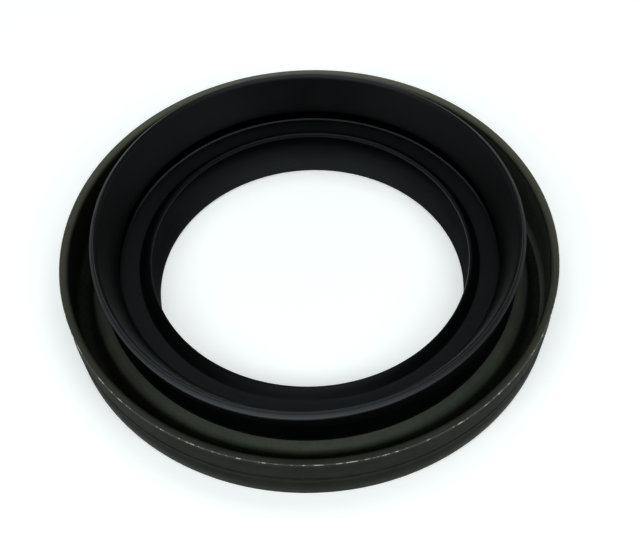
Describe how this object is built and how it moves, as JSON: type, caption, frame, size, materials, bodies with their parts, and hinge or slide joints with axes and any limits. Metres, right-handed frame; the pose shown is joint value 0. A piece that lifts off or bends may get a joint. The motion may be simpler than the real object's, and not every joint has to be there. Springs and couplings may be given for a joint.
{
  "type": "shaft seal",
  "caption": "Rotary shaft seal: a pressed steel case with a rubber main lip, dust lip and flared side lip, and a garter spring that closes the main lip on the shaft.",
  "frame": {"origin": "on the seal's axis, at the flat bottom of the steel case, on its oil side", "axes": "+Z along the shaft's axis, from the oil side to the air side; the part is turned about Z"},
  "size_m": [0.08, 0.08, 0.0154],
  "materials": {
    "case_steel": "dark olive-grey phosphated pressed steel, rubbed bright at the rim",
    "seal_rubber": "black moulded rubber, satin",
    "spring_steel": "drawn spring wire, lightly oiled"
  },
  "bodies": {
    "root": {"metal_case": "case_steel", "sealing_element": "seal_rubber", "garter_spring": "spring_steel"}
  },
  "joints": []
}
